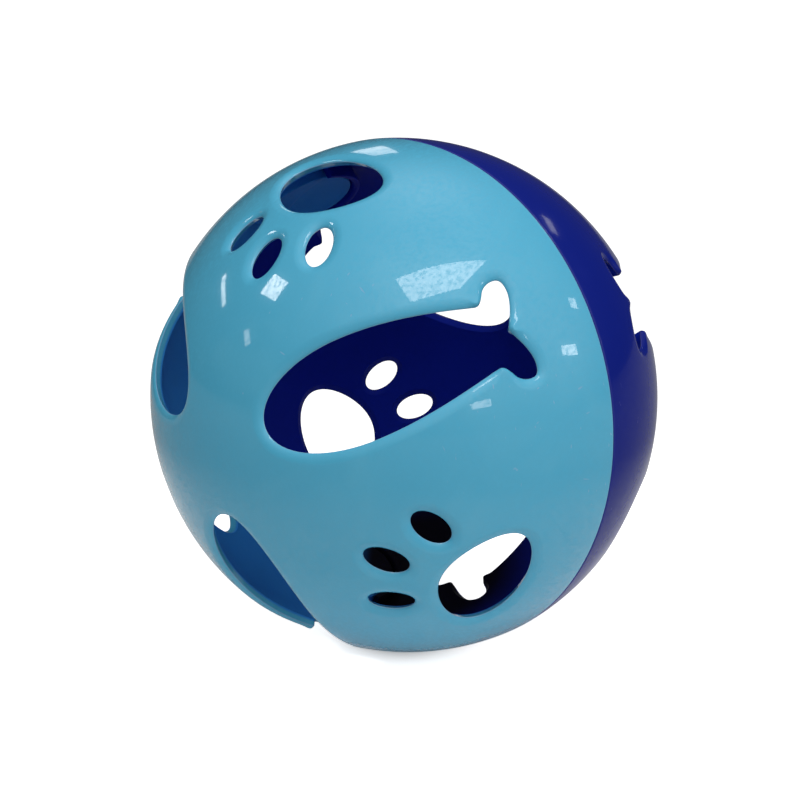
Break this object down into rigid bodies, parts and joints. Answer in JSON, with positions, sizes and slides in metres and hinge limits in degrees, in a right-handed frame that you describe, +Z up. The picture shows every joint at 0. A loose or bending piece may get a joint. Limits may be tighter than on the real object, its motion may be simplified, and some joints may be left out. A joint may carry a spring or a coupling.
{
  "type": "treat dispensing ball",
  "caption": "Hollow plastic ball whose caps plug together, with fish and paw-print openings that let dry treats fall out as it rolls.",
  "frame": {"origin": "centre of the ball, in the plane of its seam", "axes": "+Y along the ball's axis from the light cap to the dark cap, +Z up through the middle of the top paw print of each cap, +X to the right seen from the light cap"},
  "size_m": [0.08, 0.0776, 0.08],
  "materials": {
    "light_plastic": "smooth glossy moulded plastic, light sky blue",
    "dark_plastic": "smooth glossy moulded plastic, deep royal blue"
  },
  "bodies": {
    "dark_cap": {"dark_half": "dark_plastic"},
    "light_cap": {"light_half": "light_plastic"}
  },
  "joints": [
    {"name": "pull_apart", "type": "slide", "parent": "dark_cap", "child": "light_cap", "axis": [0, -1, 0], "range_m": [0, 0.05]}
  ]
}
